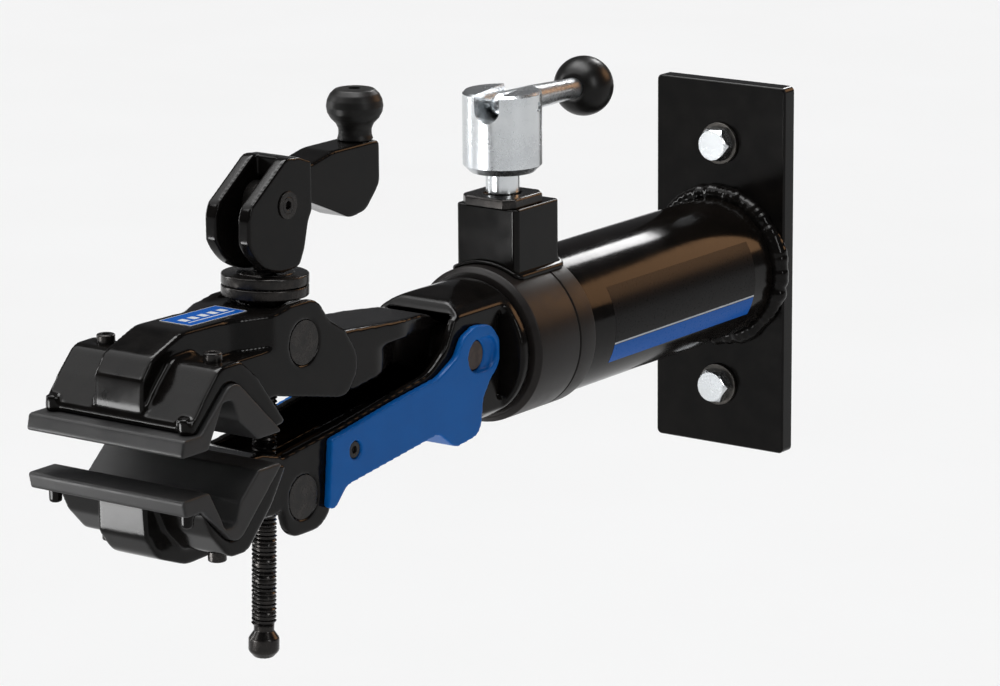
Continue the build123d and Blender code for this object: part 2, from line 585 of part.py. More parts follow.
def cam_lever():
    """Forked cam on the screw's eye, with a crank arm out to the grip. Drawn with the pin at y = 0."""
    cam = [(0.0, 125.2, 6), (-27.0, 106.0, 5), (-29.2, 100.0, 4), (-29.2, 84.0, 8), (-20.0, 72.6, 8),
           (-4.0, 70.7), (9.0, 72.0, 5), (13.0, 80.0, 8), (16.0, 92.0, 5), (19.0, 97.5),
           (19.0, 121.0), (9.5, 124.4, 4)]
    lever = side_slab(cam, -YOKE_X, YOKE_X)
    round_zone = rod_x(CAM_R, -YOKE_X, YOKE_X, 0, CAM_PIN_Z)
    lever = lever & (round_zone + block(-YOKE_X, YOKE_X, 0, 25, CAM_PIN_Z - 20, 140))
    gap = block(-YOKE_GAP_X, YOKE_GAP_X, -35, 2, 60, 140)
    gap += rod_x(EYE_R + 2.0, -YOKE_GAP_X, YOKE_GAP_X, 0, CAM_PIN_Z)
    gap += block(-YOKE_GAP_X, YOKE_GAP_X, -35, 25, 60, CAM_PIN_Z - 10)
    lever -= gap
    arm = [(13.0, 98.0), (24.0, 99.5, 8), (41.0, 92.5, 10), (54.0, 86.8, 10), (66.0, 88.5, 9),
           (CRANK_END_Y - PIN_Y, 100.0, 9), (CRANK_END_Y - PIN_Y, CRANK_TOP_Z, 3),
           (40.0, CRANK_TOP_Z, 10), (24.0, 118.5, 8), (13.0, 120.0)]
    lever += side_slab(arm, -9.5, 9.5)
    lever -= rod_x(CAM_PIN_R, -YOKE_X, YOKE_X, 0, CAM_PIN_Z)
    lever -= rod_z(GRIP_AXLE_R, 100, 130, y=GRIP_Y - PIN_Y)
    return Pos(0, PIN_Y, 0) * lever


def cam_pin():
    pin = rod_x(CAM_PIN_R, -YOKE_X - 0.8, YOKE_X + 0.8, PIN_Y, CAM_PIN_Z)
    socket = Pos(YOKE_X - 2.0, PIN_Y, CAM_PIN_Z) * Rot(0, 90, 0) * extrude(RegularPolygon(2.3, 6), 3.0)
    return pin - socket


def cam_washer(sign):
    ring = rod_x(6.6, YOKE_X, YOKE_X + 0.8, PIN_Y, CAM_PIN_Z)
    ring -= rod_x(CAM_PIN_R, YOKE_X, YOKE_X + 0.8, PIN_Y, CAM_PIN_Z)
    return ring if sign > 0 else ring.mirror(Plane.YZ)


def grip_axle():
    return rod_z(GRIP_AXLE_R, 100, GRIP_TOP_Z - 4.2, y=GRIP_Y)


def grip_knob():
    profile = [(GRIP_AXLE_R + RUNNING_GAP, GRIP_BASE_Z), (GRIP_NECK_R + 0.9, GRIP_BASE_Z),
               (GRIP_NECK_R, GRIP_BASE_Z + 4.5), (GRIP_NECK_R + 0.8, GRIP_BASE_Z + 8.0),
               (GRIP_HEAD_R - 1.2, GRIP_BASE_Z + 12.6), (GRIP_HEAD_R, GRIP_BASE_Z + 16.0),
               (GRIP_HEAD_R - 0.8, GRIP_TOP_Z - 5.0), (GRIP_HEAD_R - 3.4, GRIP_TOP_Z - 1.4),
               (GRIP_HEAD_R - 6.0, GRIP_TOP_Z), (GRIP_AXLE_R + RUNNING_GAP, GRIP_TOP_Z)]
    return turned_z(profile, y=GRIP_Y)


# ---------------------------------------------------------------- assembly

def all_pieces():
    return {
        "wall_plate": wall_plate(),
        "outer_tube": outer_tube(),
        "plate_weld": plate_weld(),
        "wall_bolt_upper": wall_bolt(1),
        "wall_bolt_lower": wall_bolt(-1),
        "wall_washer_upper": wall_washer(1),
        "wall_washer_lower": wall_washer(-1),
        "collar_sleeve": collar_sleeve(),
        "front_bushing": bushing(TUBE_FRONT_Y, -225.0),
        "rear_bushing": bushing(-115.0, -80.0),
        "lock_socket": lock_socket(),
        "socket_weld": socket_weld(),
        "lock_nut": lock_nut(),
        "brake_shoe": brake_shoe(),
        "lock_hub": lock_hub(),
        "lock_stud": lock_stud(),
        "lever_pin": lever_pin(),
        "lever_rod": lever_rod(),
        "lever_ball": lever_ball(),
        "swivel_shaft": swivel_shaft(),
        "shaft_retainer": shaft_retainer(),
        "thrust_washer": thrust_washer(),
        "lower_arm": lower_arm(),
        "lower_jaw": lower_jaw(),
        "lower_pad": jaw_pad(True),
        "lower_pad_bolt_near": pad_bolt(1, True),
        "lower_pad_bolt_far": pad_bolt(-1, True),
        "pivot_pin": pivot_pin(),
        "arm_cover": arm_cover(),
        "cover_screw_near": cover_screw(1),
        "cover_screw_far": cover_screw(-1),
        "upper_arm": upper_arm(),
        "upper_jaw": upper_jaw(),
        "upper_pad": jaw_pad(False),
        "upper_pad_bolt_near": pad_bolt(1, False),
        "upper_pad_bolt_far": pad_bolt(-1, False),
        "trunnion_nut": trunnion_nut(),
        "trunnion_seat": trunnion_seat(),
        "lower_disc": lower_disc(),
        "upper_disc": upper_disc(),
        "clamp_screw": clamp_screw(),
        "screw_cap": screw_cap(),
        "cam_lever": cam_lever(),
        "cam_pin": cam_pin(),
        "cam_washer_near": cam_washer(1),
        "cam_washer_far": cam_washer(-1),
        "grip_axle": grip_axle(),
        "grip_knob": grip_knob(),
    }


os.makedirs("parts", exist_ok=True)
for name, solid in all_pieces().items():
    export_step(solid, os.path.join("parts", name + ".step"))
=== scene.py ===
"""Wall-mounted bicycle repair clamp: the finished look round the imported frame.

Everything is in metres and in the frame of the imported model: the origin is the centre of the
wall plate's back face, +Y runs into the wall, +Z is up and +X lies along the jaws.
"""

import json
import logging
import math
from contextlib import contextmanager
from dataclasses import dataclass, field
from enum import Enum
from typing import Callable, Iterable, Iterator, Optional, Sequence

import bmesh
import bpy
from mathutils import Matrix, Vector
from mathutils.bvhtree import BVHTree


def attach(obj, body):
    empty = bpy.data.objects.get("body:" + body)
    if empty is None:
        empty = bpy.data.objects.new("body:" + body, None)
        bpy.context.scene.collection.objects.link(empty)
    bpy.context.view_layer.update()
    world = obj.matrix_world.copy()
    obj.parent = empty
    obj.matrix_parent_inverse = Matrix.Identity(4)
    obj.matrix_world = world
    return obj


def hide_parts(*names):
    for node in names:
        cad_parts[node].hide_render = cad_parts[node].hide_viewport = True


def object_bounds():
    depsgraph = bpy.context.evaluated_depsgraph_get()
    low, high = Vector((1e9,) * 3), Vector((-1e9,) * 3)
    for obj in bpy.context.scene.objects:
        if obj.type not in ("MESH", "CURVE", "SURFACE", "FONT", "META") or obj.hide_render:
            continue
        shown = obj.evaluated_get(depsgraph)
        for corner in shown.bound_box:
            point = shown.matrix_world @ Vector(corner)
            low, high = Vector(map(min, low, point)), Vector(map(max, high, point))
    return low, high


log = logging.getLogger("clamp")

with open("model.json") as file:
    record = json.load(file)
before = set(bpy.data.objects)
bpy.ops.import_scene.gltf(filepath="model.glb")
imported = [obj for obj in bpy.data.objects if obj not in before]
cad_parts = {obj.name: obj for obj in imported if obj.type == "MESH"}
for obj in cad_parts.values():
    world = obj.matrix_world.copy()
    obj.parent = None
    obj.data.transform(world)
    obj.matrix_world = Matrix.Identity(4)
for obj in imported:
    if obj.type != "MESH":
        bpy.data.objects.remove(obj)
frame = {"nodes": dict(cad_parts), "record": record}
cad_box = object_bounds()

MM = 0.001
Colour = tuple[float, float, float]
Point = tuple[float, float]
Place = tuple[float, float, float]
Window = tuple[float, float, float, float]
Tree = bpy.types.NodeTree
Socket = bpy.types.NodeSocket
Object = bpy.types.Object

WHITE: Colour = (1.0, 1.0, 1.0)
WARM: Colour = (1.0, 0.55, 0.27)

# Faces closer in angle than the first are one face; edges sharper than the second are broken.
FLAT_BELOW = math.radians(0.6)
EDGE_ABOVE = math.radians(28.0)
# Shading: the sharpest angle, in degrees, that still looks smooth.
TURNED_SMOOTH = 30.0
THREAD_SMOOTH = 40.0
ALL_SMOOTH = 180.0
# Vertices this close, in metres, are one; outline points this near the axis lie on it.
MERGE_WITHIN = 1e-6
AXIS_WITHIN = 1e-9
# A wave texture's scale for one lathe mark per metre, the thread's ridge against its depth, and
# the smallest and largest weld puddle against the mean.
WAVES_PER_TURN = 0.32
RIDGE_RATIO = 0.62
PUDDLE_SIZES = (0.80, 1.10)


# ---------------------------------------------------------------- the clamp's own lines

SEAT = Vector((0.0, -406.3, 38.5)) * MM
NUT = Vector((0.0, -409.0, -36.5)) * MM
SCREW_LEAN = math.atan2(SEAT.y - NUT.y, SEAT.z - NUT.z)
HUB_Y = -212.3 * MM
LEVER_HEADING = math.radians(-11.4)
LEVER_DROOP = math.radians(4.4)


def leaned() -> Matrix:
    """Move a mesh drawn round the world's Z axis onto the clamp screw's leaning line."""
    lean = Matrix.Rotation(-SCREW_LEAN, 4, "X")
    return Matrix.Translation(SEAT) @ lean @ Matrix.Translation((0.0, 0.0, -SEAT.z))


def along_tube() -> Matrix:
    """Turn a mesh drawn round Z so that its Z runs along the tube, out from the wall."""
    return Matrix.Rotation(math.radians(90.0), 4, "X")


def hub_frame() -> Matrix:
    """The lock hub's upright frame, its +Y out along the lever."""
    return Matrix.Translation((0.0, HUB_Y, 0.0)) @ Matrix.Rotation(-LEVER_HEADING, 4, "Z")


# ---------------------------------------------------------------- node helpers

def blank_material(name: str, specular: float) -> tuple[bpy.types.Material, Tree, bpy.types.Node]:
    """Make a node material with a specular level, and return it with its tree and its shader."""
    mat = bpy.data.materials.new(name)
    mat.use_nodes = True
    tree = mat.node_tree
    shader = tree.nodes["Principled BSDF"]
    shader.inputs["Specular IOR Level"].default_value = specular
    return mat, tree, shader


def feed(tree: Tree, value: object, socket: Socket) -> None:
    """Give an input its value: another node's socket, a colour or a plain value."""
    if isinstance(value, Socket):
        tree.links.new(value, socket)
    elif socket.type == "RGBA":
        socket.default_value = (*value, 1.0)
    else:
        socket.default_value = value


def add_node(tree: Tree, kind: str, traits: Optional[dict[str, object]] = None,
             **inputs: object) -> bpy.types.Node:
    """Add a node, set its traits and fill its inputs.

    Args:
        tree: The tree that it joins.
        kind: The node's type.
        traits: Its own settings, such as a Math node's operation.
        inputs: Values or sockets by input name, with underscores for spaces.

    Returns:
        The new node.
    """
    node = tree.nodes.new(kind)
    for name, value in (traits or {}).items():
        setattr(node, name, value)
    for name, value in inputs.items():
        feed(tree, value, node.inputs[name.replace("_", " ")])
    return node


def arithmetic(tree: Tree, operation: str, *values: object) -> Socket:
    """Add a Math node on the values, in order, and return its result."""
    node = add_node(tree, "ShaderNodeMath", {"operation": operation})
    for socket, value in zip(node.inputs, values):
        feed(tree, value, socket)
    return node.outputs["Value"]


def mixed(tree: Tree, factor: Socket, low: object, high: Colour) -> Socket:
    """Lay the high colour over the low one, a colour or a socket, by the factor."""
    node = add_node(tree, "ShaderNodeMix", {"data_type": "RGBA"}, Factor=factor, A=low, B=high)
    return node.outputs["Result"]


def ranged(tree: Tree, value: Socket, **limits: float) -> Socket:
    """Map a value from one range to another, with the limits by the Map Range node's input names."""
    return add_node(tree, "ShaderNodeMapRange", None, Value=value, **limits).outputs["Result"]


def cloud(tree: Tree, place: Socket, scale: float, detail: float) -> Socket:
    """Add a noise with so many features per metre and finer layers, and return its factor."""
    node = add_node(tree, "ShaderNodeTexNoise", None, Vector=place, Scale=scale, Detail=detail,
                    Roughness=0.55)
    return node.outputs["Fac"]


def bumped(tree: Tree, height: Socket, depth: float, under: Optional[Socket] = None) -> Socket:
    """Add a bump of a depth in metres, over the normal under it, and return the new normal."""
    node = add_node(tree, "ShaderNodeBump", None, Height=height, Distance=depth, Strength=1.0)
    if under is not None:
        feed(tree, under, node.inputs["Normal"])
    return node.outputs["Normal"]


# ---------------------------------------------------------------- finishes

class Slot(Enum):
    """The record's material slots."""

    COAT = "black_powder_coat"
    TUBE = "black_tube_coat"
    COLLAR = "collar_satin"
    ZINC = "bright_zinc"
    OXIDE = "black_oxide"
    PIN = "pin_steel"
    WASHER = "dark_washer"
    COVER = "blue_cover"
    RUBBER = "jaw_rubber"
    BALL = "ball_black"
    GRIP = "grip_black"
    BEARING = "bearing_plastic"
    BRAKE = "brake_steel"


class Turning(Enum):
    """Which way a lathe's marks run on a turned finish."""

    NONE = "none"
    UPRIGHT = "Z"
    LEVEL = "Y"
    ACROSS = "X"


@dataclass(frozen=True)
class Finish:
    """One surface finish, built as a node material on Object coordinates.

    The lengths are in metres: grain is the fine texture's size, swell the slow one's.
    """

    name: str
    base: Colour
    shade: Colour
    roughness: float
    rough_spread: float = 0.05
    metallic: float = 0.0
    specular: float = 0.5
    grain: float = 0.0012
    grain_depth: float = 0.00003
    swell: float = 0.012
    swell_depth: float = 0.0001
    speck: float = 0.0
    speck_colour: Colour = (0.3, 0.3, 0.3)
    turning: Turning = Turning.NONE
    turn_pitch: float = 0.0008
    turn_depth: float = 0.00002
    turn_centre: Place = (0.0, 0.0, 0.0)

    def build(self) -> bpy.types.Material:
        """Make the material.

        Returns:
            The new material, with colour, roughness and bump from procedural textures.
        """
        mat, tree, shader = blank_material(self.name, self.specular)
        shader.inputs["Metallic"].default_value = self.metallic
        place = add_node(tree, "ShaderNodeTexCoord").outputs["Object"]
        slow = cloud(tree, place, 1.0 / self.swell, 3.0)
        fine = cloud(tree, place, 1.0 / self.grain, 2.0)
        feed(tree, self._colour(tree, slow, fine), shader.inputs["Base Color"])
        feed(tree, self._roughness(tree, slow, fine), shader.inputs["Roughness"])
        feed(tree, self._normal(tree, place, slow, fine), shader.inputs["Normal"])
        return mat

    def _colour(self, tree: Tree, slow: Socket, fine: Socket) -> Socket:
        """Drift the colour between base and shade, with specks where the finish has them."""
        spread = ranged(tree, slow, From_Min=0.35, From_Max=0.65)
        result = mixed(tree, spread, self.base, self.shade)
        if self.speck > 0.0:
            mask = ranged(tree, fine, From_Min=0.68, From_Max=0.74, To_Max=self.speck)
            result = mixed(tree, mask, result, self.speck_colour)
        return result

    def _roughness(self, tree: Tree, slow: Socket, fine: Socket) -> Socket:
        """Vary the roughness slowly and finely about its mean."""
        both = arithmetic(tree, "MULTIPLY_ADD", fine, 0.4, slow)
        low = max(0.02, self.roughness - self.rough_spread)
        high = min(1.0, self.roughness + self.rough_spread)
        return ranged(tree, both, From_Min=0.45, From_Max=0.95, To_Min=low, To_Max=high)

    def _normal(self, tree: Tree, place: Socket, slow: Socket, fine: Socket) -> Socket:
        """Chain the slow, fine and turning bumps into one normal."""
        layers = [(slow, self.swell_depth), (fine, self.grain_depth)]
        if self.turning is not Turning.NONE:
            layers.append((self._marks(tree, place), self.turn_depth))
        normal = None
        for height, depth in layers:
            normal = bumped(tree, height, depth, normal)
        return normal

    def _marks(self, tree: Tree, place: Socket) -> Socket:
        """Add a lathe's marks: bands along the axis on the sides, rings on the ends.

        Args:
            tree: The material's node tree.
            place: The coordinates before they are centred on the turned part.

        Returns:
            The marks' height.
        """
        shift = [-value for value in self.turn_centre]
        centred = add_node(tree, "ShaderNodeMapping", None, Vector=place, Location=shift)
        heights = []
        for kind, facing in (("BANDS", "bands_direction"), ("RINGS", "rings_direction")):
            wave = add_node(tree, "ShaderNodeTexWave", {"wave_type": kind, facing: self.turning.value},
                            Vector=centred.outputs["Vector"], Scale=WAVES_PER_TURN / self.turn_pitch,
                            Distortion=1.6, Detail=2.0, Detail_Scale=0.6)
            heights.append(wave.outputs["Fac"])
        return arithmetic(tree, "ADD", *heights)


FINISHES: dict[Slot, Finish] = {
    Slot.COAT: Finish("gloss_powder_coat", (0.0040, 0.0036, 0.0034), (0.0065, 0.0056, 0.0050), 0.15, 0.04,
                      specular=0.10, grain=0.0016, grain_depth=0.000010, swell=0.012,
                      swell_depth=0.00005),
    Slot.TUBE: Finish("gloss_tube_coat", (0.0045, 0.0037, 0.0032), (0.0065, 0.0052, 0.0044), 0.14, 0.03,
                      specular=0.10, grain=0.0020, grain_depth=0.000008, swell=0.014,
                      swell_depth=0.00005),
    Slot.COLLAR: Finish("satin_collar", (0.0120, 0.0100, 0.0092), (0.0155, 0.0130, 0.0120), 0.40, 0.05,
                        specular=0.13, grain=0.0006, grain_depth=0.000012, swell=0.010, swell_depth=0.00003,
                        turning=Turning.LEVEL, turn_pitch=0.0011, turn_depth=0.000006),
    Slot.ZINC: Finish("bright_zinc_plate", (0.61, 0.63, 0.64), (0.50, 0.52, 0.54), 0.26, 0.06, metallic=1.0,
                      grain=0.0009, grain_depth=0.000012, swell=0.030, swell_depth=0.00002,
                      turning=Turning.UPRIGHT, turn_pitch=0.0007, turn_depth=0.000006,
                      turn_centre=(0.0, HUB_Y, 0.0)),
    Slot.OXIDE: Finish("black_oxide_steel", (0.020, 0.0190, 0.0185), (0.032, 0.029, 0.027), 0.26, 0.06,
                       metallic=0.55, specular=0.15, grain=0.0006, grain_depth=0.000008, swell=0.005,
                       swell_depth=0.00002),
    Slot.PIN: Finish("phosphated_pin", (0.060, 0.042, 0.034), (0.034, 0.026, 0.023), 0.42, 0.08,
                     metallic=0.7, grain=0.0006, grain_depth=0.00001, swell=0.004, swell_depth=0.00002,
                     turning=Turning.ACROSS, turn_pitch=0.0007, turn_depth=0.000006,
                     turn_centre=(0.0, -0.273, 0.0055)),
    Slot.WASHER: Finish("dark_zinc_washer", (0.035, 0.033, 0.030), (0.060, 0.055, 0.050), 0.38, 0.08,
                        metallic=0.8, grain=0.0007, grain_depth=0.00001, swell=0.004,
                        swell_depth=0.00003),
    Slot.COVER: Finish("moulded_blue", (0.0010, 0.1050, 0.3900), (0.0015, 0.1150, 0.4200), 0.34, 0.05,
                       specular=0.09, grain=0.0005, grain_depth=0.000014, swell=0.020,
                       swell_depth=0.00006),
    Slot.RUBBER: Finish("jaw_rubber_grey", (0.017, 0.0168, 0.0172), (0.025, 0.0245, 0.0248), 0.50, 0.08,
                        specular=0.20, grain=0.0004, grain_depth=0.00003, swell=0.012,
                        swell_depth=0.00008, speck=0.05, speck_colour=(0.12, 0.12, 0.12)),
    Slot.BALL: Finish("polished_phenolic", (0.0060, 0.0057, 0.0054), (0.0085, 0.0080, 0.0075), 0.33, 0.04,
                      specular=0.14, grain=0.0010, grain_depth=0.000002, swell=0.012,
                      swell_depth=0.00003),
    Slot.GRIP: Finish("satin_nylon_grip", (0.0075, 0.0070, 0.0066), (0.0105, 0.0100, 0.0094), 0.42, 0.05,
                      specular=0.14, grain=0.0007, grain_depth=0.000012, swell=0.010, swell_depth=0.00004),
    Slot.BEARING: Finish("acetal_bearing", (0.030, 0.029, 0.028), (0.040, 0.038, 0.036), 0.45, 0.06,
                         grain=0.0007, grain_depth=0.00001, swell=0.006, swell_depth=0.00003,
                         turning=Turning.LEVEL),
    Slot.BRAKE: Finish("machined_steel", (0.42, 0.41, 0.40), (0.30, 0.29, 0.28), 0.32, 0.08, metallic=1.0,
                       grain=0.0007, grain_depth=0.00001, swell=0.006, swell_depth=0.00003,
                       turning=Turning.LEVEL),
}

MATERIALS: dict[Slot, bpy.types.Material] = {slot: finish.build() for slot, finish in FINISHES.items()}


@dataclass(frozen=True)
class LabelFinish:
    """A printed label on the piece's own UV map, where u runs along it and v up it."""

    name: str
    field_colour: Colour
    line_colour: Colour
    band_colour: Colour
    border: Point
    band_top: float
    rules: tuple[Window, ...] = ()
    border_colour: Optional[Colour] = None

    def build(self) -> bpy.types.Material:
        """Make the label's material.

        Returns:
            The new material: a field, a border line, a band along the foot and plain rules.
        """
        mat, tree, shader = blank_material(self.name, 0.06)
        uv = add_node(tree, "ShaderNodeUVMap", {"uv_map": "label"}).outputs["UV"]
        split = add_node(tree, "ShaderNodeSeparateXYZ", None, Vector=uv)
        u, v = split.outputs["X"], split.outputs["Y"]
        band = self._window(tree, u, v, (0.0, 1.0, 0.0, self.band_top))
        ink = mixed(tree, band, self.field_colour, self.band_colour)
        bu, bv = self.border
        inside = self._window(tree, u, v, (bu, 1.0 - bu, bv, 1.0 - bv))
        outside = arithmetic(tree, "SUBTRACT", 1.0, inside)
        ink = mixed(tree, outside, ink, self.border_colour or self.line_colour)
        for rule in self.rules:
            ink = mixed(tree, self._window(tree, u, v, rule), ink, self.line_colour)
        feed(tree, ink, shader.inputs["Base Color"])
        place = add_node(tree, "ShaderNodeTexCoord").outputs["Object"]
        tooth = cloud(tree, place, 900.0, 3.0)
        feed(tree, ranged(tree, tooth, To_Min=0.22, To_Max=0.36), shader.inputs["Roughness"])
        feed(tree, bumped(tree, tooth, 0.000012), shader.inputs["Normal"])
        return mat

    @staticmethod
    def _window(tree: Tree, u: Socket, v: Socket, edges: Window) -> Socket:
        """One inside a rectangle of the label, zero outside.

        Args:
            tree: The material's node tree.
            u: Position along the label.
            v: Position up the label.
            edges: Lowest and highest u, then lowest and highest v.

        Returns:
            The rectangle's mask.
        """
        result = arithmetic(tree, "GREATER_THAN", u, edges[0])
        for value, limit, operation in ((u, edges[1], "LESS_THAN"), (v, edges[2], "GREATER_THAN"),
                                        (v, edges[3], "LESS_THAN")):
            test = arithmetic(tree, operation, value, limit)
            result = arithmetic(tree, "MULTIPLY", result, test)
        return result


# ---------------------------------------------------------------- mesh tools

def new_object(name: str, data: bpy.types.ID) -> Object:
    """Link a mesh, a light or a camera into the scene as an object at the origin."""
    obj = bpy.data.objects.new(name, data)
    bpy.context.scene.collection.objects.link(obj)
    return obj


@contextmanager
def editing(obj: Object) -> Iterator[bmesh.types.BMesh]:
    """Open an object's mesh for editing, then write it back and free the bmesh."""
    bm = bmesh.new()
    bm.from_mesh(obj.data)
    yield bm
    bm.to_mesh(obj.data)
    bm.free()


def from_bmesh(name: str, bm: bmesh.types.BMesh, outward: bool = True) -> Object:
    """Turn a bmesh into an object and free it.

    Args:
        name: The object's name.
        bm: The mesh; it is freed.
        outward: Merge doubles and turn the faces outwards first.

    Returns:
        The linked object, with its place in its mesh.
    """
    if outward:
        bmesh.ops.remove_doubles(bm, verts=bm.verts, dist=MERGE_WITHIN)
        bmesh.ops.recalc_face_normals(bm, faces=bm.faces)
    mesh = bpy.data.meshes.new(name)
    bm.to_mesh(mesh)
    bm.free()
    return new_object(name, mesh)


def shade(obj: Object, angle: float) -> None:
    """Shade smooth, keeping edges sharper than the angle, in degrees, as edges."""
    limit = math.radians(angle)
    with editing(obj) as bm:
        for face in bm.faces:
            face.smooth = True
        for edge in bm.edges:
            if len(edge.link_faces) == 2:
                edge.smooth = edge.calc_face_angle(0.0) < limit


def settle(obj: Object) -> Object:
    """Bake an object's modifiers into a plain mesh and drop them.

    Args:
        obj: The object with live modifiers.

    Returns:
        The same object, without modifiers.
    """
    bpy.context.view_layer.update()
    graph = bpy.context.evaluated_depsgraph_get()
    mesh = bpy.data.meshes.new_from_object(obj.evaluated_get(graph), preserve_all_data_layers=True,
                                           depsgraph=graph)
    obj.modifiers.clear()
    obj.data = mesh
    return obj


def copy_of(nodes: Sequence[str], name: str) -> Object:
    """Copy CAD nodes' triangles into one new object, merged into closed shells.

    Args:
        nodes: The CAD nodes.
        name: The new object's name.

    Returns:
        The new object.
    """
    bm = bmesh.new()
    for node in nodes:
        bm.from_mesh(frame["nodes"][node].data)
    return from_bmesh(name, bm)


def dress(obj: Object, slot: Slot, body: str, nodes: Iterable[str] = (),
          printed: Optional[LabelFinish] = None) -> Object:
    """Give a piece its finish, its body and the CAD nodes it stands for.

    Args:
        obj: The finished piece.
        slot: Its finish.
        body: The CAD body it rides on.
        nodes: CAD nodes that it replaces.
        printed: A label's own print, shown in place of the slot's finish.

    Returns:
        The piece.
    """
    obj.data.materials.clear()
    obj.data.materials.append(printed.build() if printed else MATERIALS[slot])
    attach(obj, body)
    if nodes:
        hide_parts(*nodes)
    log.info("%s: %d faces on %s", obj.name, len(obj.data.polygons), body)
    return obj


def soften(obj: Object, voxel: float, rounds: int) -> Object:
    """Fuse an object's shells into one and round its edges.

    Args:
        obj: The object.
        voxel: Remesh size, in metres.
        rounds: Smoothing passes; more passes give rounder edges.

    Returns:
        The same object, softened.
    """
    remesh = obj.modifiers.new("fuse", "REMESH")
    remesh.mode = "VOXEL"
    remesh.voxel_size = voxel
    remesh.adaptivity = 0.0
    smooth = obj.modifiers.new("ease", "SMOOTH")
    smooth.factor = 0.5
    smooth.iterations = rounds
    settle(obj)
    shade(obj, ALL_SMOOTH)
    return obj


def cast_copy(nodes: Sequence[str], name: str, voxel: float, rounds: int) -> Object:
    """A casting or moulding: the CAD nodes copied as one and softened, as soften does."""
    return soften(copy_of(nodes, name), voxel, rounds)


def eased_copy(node: str, name: str, width: float = 0.0004, segments: int = 2) -> Object:
    """A machined part: the CAD shape with its sharp edges broken.

    Args:
        node: The CAD node it copies.
        name: The new object's name.
        width: The broken edge's width, in metres.
        segments: Faces across the broken edge.

    Returns:
        The new object.
    """
    obj = copy_of([node], name)
    with editing(obj) as bm:
        bmesh.ops.dissolve_limit(bm, angle_limit=FLAT_BELOW, verts=bm.verts, edges=bm.edges)
    bevel = obj.modifiers.new("ease", "BEVEL")
    bevel.width = width
    bevel.segments = segments
    bevel.limit_method = "ANGLE"
    bevel.angle_limit = EDGE_ABOVE
    shade(obj, ALL_SMOOTH)
    even = obj.modifiers.new("even", "WEIGHTED_NORMAL")
    even.weight = 100
    even.keep_sharp = False
    return settle(obj)


def eased_profile(points: Sequence[tuple[float, ...]], steps: int = 6) -> list[Point]:
    """Round a profile's corners.

    Args:
        points: (u, v) or (u, v, radius) corners of a closed outline.
        steps: Points on each rounded corner.

    Returns:
        The outline with arcs in place of the corners that state a radius.
    """
    out: list[Point] = []
    count = len(points)
    for i, point in enumerate(points):
        if len(point) < 3:
            out.append((point[0], point[1]))
            continue
        here = Vector(point[:2])
        back = Vector(points[i - 1][:2]) - here
        ahead = Vector(points[(i + 1) % count][:2]) - here
        half = back.angle(ahead) / 2
        reach = min(point[2] / math.tan(half), back.length * 0.49, ahead.length * 0.49)
        radius = reach * math.tan(half)
        start = here + back.normalized() * reach
        end = here + ahead.normalized() * reach
        centre = here + (back.normalized() + ahead.normalized()).normalized() * (radius / math.sin(half))
        first, last = start - centre, end - centre
        sweep = first.angle_signed(last)
        for k in range(steps + 1):
            turn = -sweep * k / steps
            c, s = math.cos(turn), math.sin(turn)
            out.append((centre.x + first.x * c - first.y * s, centre.y + first.x * s + first.y * c))
    return out


def lathe(name: str, profile: Sequence[Point], place: Matrix, segments: int = 96) -> Object:
    """Turn a closed outline round Z and put it in place.

    Args:
        name: The object's name.
        profile: (radius, height) corners in millimetres, closed; a radius of zero lies on the axis.
        place: Where the turned part goes.
        segments: Faces round it.

    Returns:
        The turned object.
    """
    bm = bmesh.new()
    rings = []
    for k in range(segments):
        a = 2 * math.pi * k / segments
        rings.append([bm.verts.new((r * MM * math.cos(a), r * MM * math.sin(a), z * MM))
                      for r, z in profile])
    count = len(profile)
    for k in range(segments):
        here, there = rings[k], rings[(k + 1) % segments]
        for i in range(count):
            j = (i + 1) % count
            corners = [here[i], here[j], there[j], there[i]]
            if profile[i][0] <= AXIS_WITHIN and profile[j][0] <= AXIS_WITHIN:
                continue
            if profile[i][0] <= AXIS_WITHIN:
                corners = [here[i], here[j], there[j]]
            elif profile[j][0] <= AXIS_WITHIN:
                corners = [here[i], here[j], there[i]]
            bm.faces.new(corners)
    bmesh.ops.transform(bm, matrix=place, verts=bm.verts)
    obj = from_bmesh(name, bm)
    shade(obj, TURNED_SMOOTH)
    return obj


